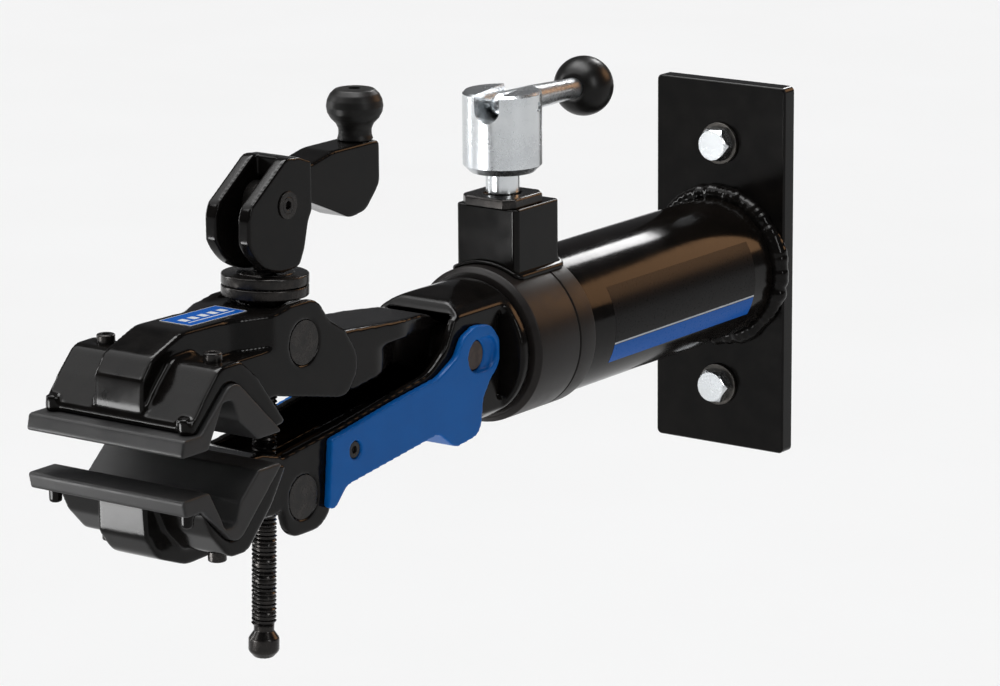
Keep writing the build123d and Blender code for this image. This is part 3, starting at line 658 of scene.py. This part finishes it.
def decal(name: str, start: Callable[[float, float], Vector], toward: Callable[[float, float], Vector],
          surface: Object, cells: tuple[int, int], lift: float) -> Object:
    """A thin printed label laid on a surface by dropping a grid onto it.

    Args:
        name: The object's name.
        start: Gives the ray's start for (u, v) in 0..1.
        toward: Gives the ray's direction for (u, v).
        surface: What the label is stuck on.
        cells: Cells along and up the label.
        lift: How far the label stands off the surface, in metres.

    Returns:
        The label, with its UV map named label.
    """
    tree = BVHTree.FromPolygons([v.co for v in surface.data.vertices],
                                [p.vertices[:] for p in surface.data.polygons])
    bm = bmesh.new()
    across, up = cells
    grid = []
    for i in range(across + 1):
        column = []
        for j in range(up + 1):
            u, v = i / across, j / up
            direction = toward(u, v).normalized()
            hit = tree.ray_cast(start(u, v), direction)[0]
            point = (hit if hit is not None else start(u, v)) - direction * lift
            column.append((bm.verts.new(point), u, v))
        grid.append(column)
    layer = bm.loops.layers.uv.new("label")
    for i in range(across):
        for j in range(up):
            ring = (grid[i][j], grid[i + 1][j], grid[i + 1][j + 1], grid[i][j + 1])
            face = bm.faces.new([corner[0] for corner in ring])
            for loop, corner in zip(face.loops, ring):
                loop[layer].uv = (corner[1], corner[2])
    face = next(iter(bm.faces))
    bm.normal_update()
    if face.normal.dot(toward(0.0, 0.0)) > 0:
        bmesh.ops.reverse_faces(bm, faces=bm.faces)
    obj = from_bmesh(name, bm, outward=False)
    thick = obj.modifiers.new("thickness", "SOLIDIFY")
    thick.thickness = lift * 0.9
    thick.offset = -1.0
    settle(obj)
    shade(obj, TURNED_SMOOTH)
    return obj


# ---------------------------------------------------------------- node-built repeats

class NodeTool:
    """A geometry node tree with named inputs, run once into a plain mesh."""

    def __init__(self, name: str, material: bpy.types.Material) -> None:
        """Start the tree with its geometry output.

        Args:
            name: The tree's name.
            material: What Set Material gives the result.
        """
        self.tree = bpy.data.node_groups.new(name, "GeometryNodeTree")
        self.tree.interface.new_socket("Geometry", in_out="OUTPUT", socket_type="NodeSocketGeometry")
        self.entry = self.tree.nodes.new("NodeGroupInput")
        self.exit = self.tree.nodes.new("NodeGroupOutput")
        self.material = material
        self.values: dict[str, float] = {}

    def size(self, name: str, value: float, kind: str = "NodeSocketFloat") -> Socket:
        """Add a named input.

        Args:
            name: What the size is called.
            value: Its value.
            kind: The socket's type.

        Returns:
            The input's socket inside the tree.
        """
        item = self.tree.interface.new_socket(name, in_out="INPUT", socket_type=kind)
        self.values[item.identifier] = value
        return next(s for s in self.entry.outputs if s.identifier == item.identifier)

    def node(self, kind: str, **inputs: object) -> bpy.types.Node:
        """Add a node to the tree and fill its inputs, as add_node does."""
        return add_node(self.tree, kind, None, **inputs)

    def run(self, geometry: Socket, name: str, place: Matrix) -> Object:
        """Finish the tree, run it and keep the plain mesh.

        Args:
            geometry: The geometry to hand on.
            name: The new object's name.
            place: Where the mesh goes.

        Returns:
            The object, its modifier already removed.
        """
        real = self.node("GeometryNodeRealizeInstances", Geometry=geometry)
        dressed = self.node("GeometryNodeSetMaterial", Geometry=real.outputs["Geometry"],
                            Material=self.material)
        self.tree.links.new(dressed.outputs["Geometry"], self.exit.inputs["Geometry"])
        obj = new_object(name, bpy.data.meshes.new(name))
        modifier = obj.modifiers.new("build", "NODES")
        modifier.node_group = self.tree
        for identifier, value in self.values.items():
            modifier[identifier] = value
        settle(obj)
        with editing(obj) as bm:
            bmesh.ops.remove_doubles(bm, verts=bm.verts, dist=MERGE_WITHIN)
            bmesh.ops.transform(bm, matrix=place, verts=bm.verts)
            bmesh.ops.recalc_face_normals(bm, faces=bm.faces)
        return obj


def thread_tool(radius: float, depth: float, pitch: float, length: float) -> tuple[NodeTool, Socket]:
    """A screw thread: a ridge swept along a spiral.

    Args:
        radius: The thread's outer radius, in metres.
        depth: The thread's depth.
        pitch: Rise per turn.
        length: The threaded length.

    Returns:
        The tool and the geometry to run.
    """
    tool = NodeTool("screw_thread", MATERIALS[Slot.OXIDE])
    turns = tool.size("Turns", length / pitch)
    height = tool.size("Length", length)
    outer = tool.size("Radius", radius - depth * 0.5)
    ridge = tool.size("Ridge size", depth * RIDGE_RATIO)
    spiral = tool.node("GeometryNodeCurveSpiral", Resolution=32, Rotations=turns, Start_Radius=outer,
                       End_Radius=outer, Height=height)
    ring = tool.node("GeometryNodeCurvePrimitiveCircle", Resolution=4, Radius=ridge)
    swept = tool.node("GeometryNodeCurveToMesh", Curve=spiral.outputs["Curve"],
                      Profile_Curve=ring.outputs["Curve"], Fill_Caps=True)
    return tool, swept.outputs["Mesh"]


def bead_tool(radius: float, leg: float, count: int, seed: int) -> tuple[NodeTool, Socket]:
    """A fillet weld: overlapping puddles laid round a circle.

    Args:
        radius: The circle through the puddles' centres, in metres.
        leg: A puddle's size.
        count: How many puddles go round.
        seed: Seed of their small size changes.

    Returns:
        The tool and the geometry to run.
    """
    tool = NodeTool("weld_bead", MATERIALS[Slot.COAT])
    around = tool.size("Radius", radius)
    number = tool.size("Puddles", count, "NodeSocketInt")
    size = tool.size("Leg", leg)
    ring = tool.node("GeometryNodeMeshCircle", Vertices=number, Radius=around)
    puddle = tool.node("GeometryNodeMeshIcoSphere", Radius=size, Subdivisions=3)
    wobble = tool.node("FunctionNodeRandomValue", Seed=seed)
    floats = [socket for socket in wobble.inputs if socket.type == "VALUE"]
    floats[0].default_value, floats[1].default_value = PUDDLE_SIZES
    value = next(socket for socket in wobble.outputs if socket.type == "VALUE")
    placed = tool.node("GeometryNodeInstanceOnPoints", Points=ring.outputs["Mesh"],
                       Instance=puddle.outputs["Mesh"], Scale=value)
    return tool, placed.outputs["Instances"]


# ---------------------------------------------------------------- sub-assemblies

@dataclass
class WallMount:
    """Plate, tube, collar, bolts and the swivel lock's socket. Sizes in millimetres."""

    tube_radius: float = 38.1
    tube_wall: float = 3.2
    tube_front: float = -232.0
    plate_front: float = -9.525
    collar_radius: float = 40.2
    collar_front: float = -237.5
    collar_rear: float = -187.0
    groove: float = -201.0
    mouth_radius: float = 31.0
    weld_rise: float = 1.5
    weld_leg: float = 5.4
    weld_count: int = 64
    weld_seed: int = 11
    label_from: float = -166.0
    label_to: float = -33.0
    label_low: float = -30.0
    label_high: float = 33.0

    def build(self) -> None:
        """Build every piece that stays still on the wall."""
        tube = self.tube()
        self.collar()
        self.plate()
        self.weld()
        self.label(tube)
        self.socket()
        for side in ("upper", "lower"):
            bolt = eased_copy(f"wall_bolt_{side}", f"lag_bolt_{side}", 0.0005, 3)
            dress(bolt, Slot.ZINC, "wall_frame", [f"wall_bolt_{side}"])
            washer = eased_copy(f"wall_washer_{side}", f"bolt_washer_{side}", 0.0004, 2)
            dress(washer, Slot.WASHER, "wall_frame", [f"wall_washer_{side}"])

    def plate(self) -> None:
        """The wall plate with its edges and corners eased."""
        dress(eased_copy("wall_plate", "mount_plate", 0.0009, 3), Slot.COAT, "wall_frame", ["wall_plate"])

    def tube(self) -> Object:
        """The outer tube.

        Returns:
            The tube, for the label to sit on.
        """
        outer, inner = self.tube_radius, self.tube_radius - self.tube_wall
        profile = eased_profile([(outer, -self.plate_front - 0.02), (outer, -self.tube_front, 0.8),
                                 (inner, -self.tube_front, 0.8), (inner, -self.plate_front - 0.02)])
        tube = lathe("main_tube", profile, along_tube(), 160)
        return dress(tube, Slot.TUBE, "wall_frame", ["outer_tube"])

    def collar(self) -> None:
        """The satin collar with its shadow groove and eased rims."""
        out, front, rear = self.collar_radius, -self.collar_front, -self.collar_rear
        deep = out - 0.8
        groove = -self.groove
        profile = [(self.tube_radius + 0.05, rear), (out, rear, 0.9), (out, groove - 0.8, 0.25),
                   (deep, groove - 0.5, 0.25), (deep, groove + 0.5, 0.25), (out, groove + 0.8, 0.25),
                   (out, front - 2.6, 1.2), (out - 2.6, front, 1.2), (self.mouth_radius, front, 0.6),
                   (self.mouth_radius, -self.tube_front + 0.05), (self.tube_radius + 0.05, -self.tube_front)]
        collar = lathe("front_collar", eased_profile(profile), along_tube(), 160)
        dress(collar, Slot.COLLAR, "wall_frame", ["collar_sleeve"])

    def weld(self) -> None:
        """The rippled fillet weld between the tube and the plate."""
        tool, puddles = bead_tool((self.tube_radius + self.weld_rise) * MM, self.weld_leg * MM,
                                  self.weld_count, self.weld_seed)
        place = Matrix.Translation((0.0, (self.plate_front - self.weld_rise) * MM, 0.0)) @ along_tube()
        bead = soften(tool.run(puddles, "tube_weld", place), 0.0006, 14)
        dress(bead, Slot.COAT, "wall_frame", ["plate_weld"])

    def label(self, tube: Object) -> None:
        """The printed panel along the tube's near side, with no lettering."""
        def start(u: float, v: float) -> Vector:
            """A point outside the tube."""
            angle = math.radians(self.label_low + (self.label_high - self.label_low) * v)
            y = self.label_from + (self.label_to - self.label_from) * u
            return Vector((60 * math.cos(angle), y, 60 * math.sin(angle))) * MM

        def toward(u: float, v: float) -> Vector:
            """From there to the tube's axis."""
            point = start(u, v)
            return Vector((-point.x, 0.0, -point.z))

        panel = decal("tube_label", start, toward, tube, (24, 24), 0.00012)
        finish = LabelFinish("tube_label_print", (0.0085, 0.0078, 0.0076), (0.50, 0.52, 0.54),
                             (0.0006, 0.088, 0.38), (0.0, 0.0), 0.255,
                             ((0.0, 1.0, 0.262, 0.284),), (0.045, 0.045, 0.045))
        dress(panel, Slot.TUBE, "wall_frame", printed=finish)

    def socket(self) -> None:
        """The square lock socket, its weld and its threaded plate."""
        dress(eased_copy("lock_socket", "lock_post", 0.0006, 3), Slot.COAT, "wall_frame", ["lock_socket"])
        bead = cast_copy(["socket_weld"], "lock_post_weld", 0.0006, 8)
        dress(bead, Slot.COAT, "wall_frame", ["socket_weld"])
        dress(eased_copy("lock_nut", "lock_nut_plate", 0.0005, 2), Slot.OXIDE, "wall_frame", ["lock_nut"])


@dataclass
class SwivelLock:
    """Zinc hub, lever and ball that lock the swivel. Sizes in millimetres."""

    rod_radius: float = 6.35
    rod_end_radius: float = 5.2
    taper_from: float = 40.0
    rod_end: float = 98.6
    lever_height: float = 120.3
    ball_radius: float = 15.875
    ball_reach: float = 104.6
    flat_radius: float = 7.2

    def build(self) -> None:
        """Build the hub, the lever and the ball."""
        dress(eased_copy("lock_hub", "lock_hub_turned", 0.0006, 3), Slot.ZINC, "lock", ["lock_hub"])
        dress(self.rod(), Slot.ZINC, "lock_handle", ["lever_rod"])
        dress(self.ball(), Slot.BALL, "lock_handle", ["lever_ball"])

    def lever_frame(self) -> Matrix:
        """The lever's frame: its Z runs out along the drooping lever."""
        out = Matrix.Rotation(math.radians(-90.0) - LEVER_DROOP, 4, "X")
        return hub_frame() @ Matrix.Translation((0.0, 0.0, self.lever_height * MM)) @ out

    def rod(self) -> Object:
        """The lever rod: a round eye end, then a taper to the ball.

        Returns:
            The rod.
        """
        r = self.rod_radius
        profile = []
        for k in range(17):
            angle = math.pi / 2 * k / 16
            profile.append((r * math.sin(angle), -r * math.cos(angle)))
        profile[0] = (0.0, -r)
        profile += [(r, self.taper_from), (self.rod_end_radius, self.rod_end), (0.0, self.rod_end)]
        return lathe("lever_rod_turned", profile, self.lever_frame(), 72)

    def ball(self) -> Object:
        """The ball knob, with its small flat where the rod goes in.

        Returns:
            The ball.
        """
        start = math.pi - math.asin(self.flat_radius / self.ball_radius)
        mouth = self.ball_reach + self.ball_radius * math.cos(start)
        profile = [(0.0, self.rod_end), (self.rod_end_radius + 0.02, self.rod_end),
                   (self.rod_end_radius + 0.2, mouth)]
        for k in range(41):
            angle = start * (1 - k / 40)
            height = self.ball_reach + self.ball_radius * math.cos(angle)
            profile.append((self.ball_radius * math.sin(angle), height))
        profile[-1] = (0.0, profile[-1][1])
        return lathe("ball_knob", profile, self.lever_frame(), 96)


@dataclass
class ClampHead:
    """The fixed casting with the lower jaw, and the swinging upper arm and jaw."""

    voxel: float = 0.00095
    rounds: int = 9
    label_x: float = 9.6
    label_from: float = -472.0
    label_to: float = -431.0

    def build(self) -> None:
        """Build both arms, the jaws, the pads, the cover and their screws."""
        lower = cast_copy(["lower_arm", "lower_jaw"], "lower_casting", self.voxel, self.rounds)
        dress(lower, Slot.COAT, "clamp_head", ["lower_arm", "lower_jaw"])
        upper = cast_copy(["upper_arm", "upper_jaw"], "upper_casting", self.voxel, self.rounds)
        dress(upper, Slot.COAT, "jaw_arm", ["upper_arm", "upper_jaw"])
        self.label(upper)
        for side, body in (("lower", "clamp_head"), ("upper", "jaw_arm")):
            pad = cast_copy([f"{side}_pad"], f"{side}_jaw_pad", 0.0006, 6)
            dress(pad, Slot.RUBBER, body, [f"{side}_pad"])
            for end in ("near", "far"):
                node = f"{side}_pad_bolt_{end}"
                dress(eased_copy(node, f"{side}_cap_screw_{end}", 0.0003, 2), Slot.OXIDE, body, [node])
        cover = cast_copy(["arm_cover"], "blue_grip_cover", 0.0007, 7)
        dress(cover, Slot.COVER, "clamp_head", ["arm_cover"])
        pin = eased_copy("pivot_pin", "pivot_pin_turned", 0.0006, 3)
        dress(pin, Slot.PIN, "clamp_head", ["pivot_pin"])
        for end in ("near", "far"):
            node = f"cover_screw_{end}"
            dress(eased_copy(node, f"cover_cap_screw_{end}", 0.0004, 2), Slot.OXIDE, "clamp_head", [node])

    def label(self, jaw: Object) -> None:
        """The blue label on the upper jaw's ridge: a thin border, five blank tabs and a rule."""
        def start(u: float, v: float) -> Vector:
            """A point above the jaw."""
            x = self.label_x * (1 - 2 * v)
            y = self.label_from + (self.label_to - self.label_from) * u
            return Vector((x, y, 80.0)) * MM

        sticker = decal("jaw_label", start, lambda u, v: Vector((0.0, 0.0, -1.0)), jaw, (40, 20), 0.00035)
        rules = tuple((0.12 + 0.17 * k, 0.22 + 0.17 * k, 0.40, 0.66) for k in range(5))
        finish = LabelFinish("jaw_label_print", (0.0020, 0.095, 0.43), (0.70, 0.72, 0.74),
                             (0.0020, 0.095, 0.43), (0.010, 0.022), 0.2,
                             rules + ((0.10, 0.92, 0.24, 0.29),))
        dress(sticker, Slot.COVER, "jaw_arm", printed=finish)


@dataclass
class ClampScrew:
    """Trunnions, thrust discs, threaded screw, cam lever and grip. Sizes in millimetres."""

    thread_radius: float = 6.0
    thread_depth: float = 0.95
    pitch: float = 2.0
    screw_low: float = -103.0
    screw_high: float = 74.0
    disc_radius: float = 21.0
    disc_low: float = 58.8
    disc_mid: float = 64.2
    disc_top: float = 69.6
    pad_radius: float = 14.0
    pad_top: float = 70.2
    bore: float = 6.05
    grip_y: float = -334.0
    cap_points: list[tuple[float, ...]] = field(default_factory=lambda: [
        (0.0, -103.0), (5.0, -103.0), (4.9, -106.0, 1.0), (7.5, -109.8, 2.0), (7.5, -116.0, 3.0),
        (4.4, -119.4, 2.5), (0.0, -119.4)])
    knob_points: list[tuple[float, ...]] = field(default_factory=lambda: [
        (3.05, 122.2), (8.8, 122.2, 0.3), (8.1, 124.6, 3.0), (8.1, 127.4, 3.0), (9.3, 130.0, 3.0),
        (11.8, 132.6, 3.0), (13.4, 135.4, 3.0), (13.9, 138.4, 3.0), (13.4, 141.6, 3.0),
        (12.0, 144.4, 3.0), (9.7, 146.6, 2.0), (7.6, 147.0, 1.0), (3.05, 147.0)])

    def build(self) -> None:
        """Build the screw line from the trunnions up to the grip."""
        for node, name, body in (("trunnion_nut", "lower_trunnion_pin", "lower_trunnion"),
                                 ("trunnion_seat", "upper_trunnion_pin", "upper_trunnion")):
            dress(eased_copy(node, name, 0.0004, 2), Slot.OXIDE, body, [node])
        dress(self.disc("thrust_disc_low", self.disc_low, self.disc_mid - 0.1, None), Slot.OXIDE,
              "upper_trunnion", ["lower_disc"])
        dress(self.disc("thrust_disc_top", self.disc_mid + 0.1, self.disc_top, self.pad_top), Slot.OXIDE,
              "screw", ["upper_disc"])
        self.screw()
        cap = lathe("screw_end_cap", eased_profile(self.cap_points), leaned(), 64)
        dress(cap, Slot.OXIDE, "screw", ["screw_cap"])
        lever = cast_copy(["cam_lever"], "cam_crank", 0.0006, 18)
        dress(lever, Slot.COAT, "cam_handle", ["cam_lever"])
        dress(eased_copy("cam_pin", "cam_pin_turned", 0.0003, 2), Slot.OXIDE, "cam_handle", ["cam_pin"])
        for end in ("near", "far"):
            dress(eased_copy(f"cam_washer_{end}", f"cam_pin_washer_{end}", 0.0002, 2), Slot.OXIDE,
                  "cam_handle", [f"cam_washer_{end}"])
        place = Matrix.Translation((0.0, self.grip_y * MM, 0.0))
        knob = lathe("grip_knob_turned", eased_profile(self.knob_points, 8), place, 96)
        dress(knob, Slot.GRIP, "grip", ["grip_knob"])

    def disc(self, name: str, low: float, high: float, pad: Optional[float]) -> Object:
        """One thrust disc with rolled rims.

        Args:
            name: The disc's name.
            low: Its lower face.
            high: Its upper face.
            pad: The top of its raised middle, if it has one.

        Returns:
            The disc.
        """
        r = self.disc_radius
        profile = [(self.bore, low), (r, low, 0.9), (r, high, 0.9)]
        if pad is None:
            profile.append((self.bore, high))
        else:
            profile += [(self.pad_radius, high, 0.4), (self.pad_radius - 0.3, pad, 0.4), (self.bore, pad)]
        return lathe(name, eased_profile(profile), leaned(), 96)

    def screw(self) -> None:
        """The threaded rod with its eye, thread and core as one piece."""
        length = (self.screw_high - self.screw_low) * MM
        tool, ridge = thread_tool(self.thread_radius * MM, self.thread_depth * MM, self.pitch * MM, length)
        place = leaned() @ Matrix.Translation((0.0, 0.0, self.screw_low * MM))
        thread = tool.run(ridge, "clamp_screw_threaded", place)
        core = self.thread_radius - self.thread_depth
        profile = [(0.0, self.screw_low), (core, self.screw_low), (core, self.screw_high),
                   (0.0, self.screw_high)]
        rod = lathe("screw_core", profile, leaned(), 48)
        eye = self.eye()
        with editing(thread) as bm:
            for part in (rod, eye):
                bm.from_mesh(part.data)
                bpy.data.objects.remove(part)
        shade(thread, THREAD_SMOOTH)
        dress(thread, Slot.OXIDE, "screw", ["clamp_screw"])

    def eye(self) -> Object:
        """The eye at the screw's head: the part of the CAD screw above the thread.

        Returns:
            The eye.
        """
        obj = copy_of(["clamp_screw"], "screw_eye")
        normal = Vector((0.0, math.sin(SCREW_LEAN), math.cos(SCREW_LEAN)))
        at = SEAT + normal * (self.screw_high * MM - SEAT.z)
        with editing(obj) as bm:
            cut = bmesh.ops.bisect_plane(bm, geom=bm.verts[:] + bm.edges[:] + bm.faces[:], plane_co=at,
                                         plane_no=normal, clear_inner=True)
            edges = [item for item in cut["geom_cut"] if isinstance(item, bmesh.types.BMEdge)]
            bmesh.ops.holes_fill(bm, edges=edges)
        return obj


@dataclass(frozen=True)
class SoftBox:
    """One rectangular light that shows as a highlight and leaves the floor even. Metres and watts."""

    name: str
    at: Place
    aim: Place
    size: Point
    power: float
    colour: Colour = WHITE

    def build(self) -> None:
        """Place the light, turned to what it points at."""
        data = bpy.data.lights.new(self.name, "AREA")
        data.shape = "RECTANGLE"
        data.size, data.size_y = self.size
        data.energy = self.power
        data.color = self.colour
        obj = new_object(self.name, data)
        obj.visible_diffuse = False
        obj.visible_camera = False
        obj.location = self.at
        obj.rotation_euler = (Vector(self.aim) - Vector(self.at)).to_track_quat("-Z", "Y").to_euler()


SOFT_BOXES: tuple[SoftBox, ...] = (
    SoftBox("nose_box", (-0.215, -0.76, -0.10), (0.0, -0.49, -0.02), (0.19, 0.11), 1.9),
    SoftBox("left_strip", (-1.90, -0.90, 0.45), (0.0, -0.35, 0.05), (0.22, 1.30), 17.0),
    SoftBox("front_left_box", (-1.30, -1.90, 1.50), (0.0, -0.45, 0.0), (0.50, 0.60), 7.0),
    SoftBox("overhead_box", (-0.2, -0.2, 1.6), (0.0, -0.25, 0.0), (0.7, 1.6), 40.0),
    SoftBox("near_side_box", (2.1, -0.6, 1.0), (0.0, -0.3, 0.0), (0.35, 1.2), 20.0),
    SoftBox("high_back_box", (-0.35, 1.70, 1.35), (0.0, -0.2, 0.0), (0.45, 0.60), 20.0),
    SoftBox("warm_back_box", (1.00, 1.70, 0.95), (0.0, -0.2, 0.0), (1.10, 0.90), 15.0, WARM),
)


@dataclass
class Studio:
    """Pale floor, soft lights and the camera. Metres."""

    floor_drop: float = 0.45
    floor_half: float = 40.0
    glow_power: float = 3.05
    glow_spread: float = math.radians(70.0)
    glow_turn: Place = (math.radians(12.0), math.radians(-16.0), 0.0)
    room_colour: Colour = (0.95, 0.96, 1.0)
    room_strength: float = 0.10
    camera_at: Place = (1.2807370, -1.9919533, 0.5260490)
    yaw: float = 0.6246698113622726
    pitch: float = 0.23710161486877002
    roll: float = -0.007240571665420161
    lens: float = 158.76

    def build(self) -> None:
        """Set the floor, the world, the lights and the camera."""
        self.floor()
        self.world()
        self.ceiling_glow()
        for box in SOFT_BOXES:
            box.build()
        self.camera()

    def floor(self) -> None:
        """A wide pale floor under the clamp."""
        bm = bmesh.new()
        z = cad_box[0].z - self.floor_drop
        half = self.floor_half
        corners = [bm.verts.new((x, y, z)) for x, y in ((-half, -half), (half, -half), (half, half),
                                                        (-half, half))]
        bm.faces.new(corners)
        floor = from_bmesh("studio_floor", bm, outward=False)
        mat, tree, shader = blank_material("studio_paper", 0.1)
        place = add_node(tree, "ShaderNodeTexCoord").outputs["Object"]
        tone = mixed(tree, cloud(tree, place, 3.0, 2.0), (0.90, 0.90, 0.895), (0.93, 0.93, 0.93))
        feed(tree, tone, shader.inputs["Base Color"])
        shader.inputs["Roughness"].default_value = 0.9
        floor.data.materials.append(mat)

    def ceiling_glow(self) -> None:
        """A broad soft light from above that keeps the floor evenly pale."""
        data = bpy.data.lights.new("ceiling_glow", "SUN")
        data.energy = self.glow_power
        data.angle = self.glow_spread
        new_object("ceiling_glow", data).rotation_euler = self.glow_turn

    def world(self) -> None:
        """A soft grey room."""
        world = bpy.data.worlds.new("studio_room")
        bpy.context.scene.world = world
        world.use_nodes = True
        back = world.node_tree.nodes["Background"]
        back.inputs["Color"].default_value = (*self.room_colour, 1.0)
        back.inputs["Strength"].default_value = self.room_strength

    def camera(self) -> None:
        """The main view's camera."""
        data = bpy.data.cameras.new("main_view")
        data.sensor_width = 36.0
        data.lens = self.lens
        data.clip_end = 100.0
        cam = new_object("main_view", data)
        cy, sy, cp, sp = math.cos(self.yaw), math.sin(self.yaw), math.cos(self.pitch), math.sin(self.pitch)
        ahead = Vector((-sy * cp, cy * cp, -sp))
        right = Vector((cy, sy, 0.0))
        up = right.cross(ahead)
        c, s = math.cos(self.roll), math.sin(self.roll)
        x_axis, y_axis = right * c + up * s, up * c - right * s
        turn = Matrix((x_axis, y_axis, -ahead)).transposed().to_4x4()
        cam.matrix_world = Matrix.Translation(self.camera_at) @ turn
        bpy.context.scene.camera = cam


def dress_remaining_nodes() -> None:
    """Give every CAD node that still shows its finish."""
    slots = {part["node"]: Slot(part["material_slot"]) for part in frame["record"]["subparts"]}
    for node, obj in frame["nodes"].items():
        if obj.hide_render:
            continue
        if not obj.material_slots:
            obj.data.materials.append(None)
        for holder in obj.material_slots:
            holder.material = MATERIALS[slots[node]]
        log.info("%s keeps its own shape", node)


def main() -> None:
    """Build the clamp and the studio."""
    logging.basicConfig(level=logging.INFO, format="%(message)s")
    bpy.context.scene.view_settings.view_transform = "Standard"
    for assembly in (WallMount(), SwivelLock(), ClampHead(), ClampScrew()):
        assembly.build()
    dress_remaining_nodes()
    Studio().build()


if __name__ == "__main__":
    main()
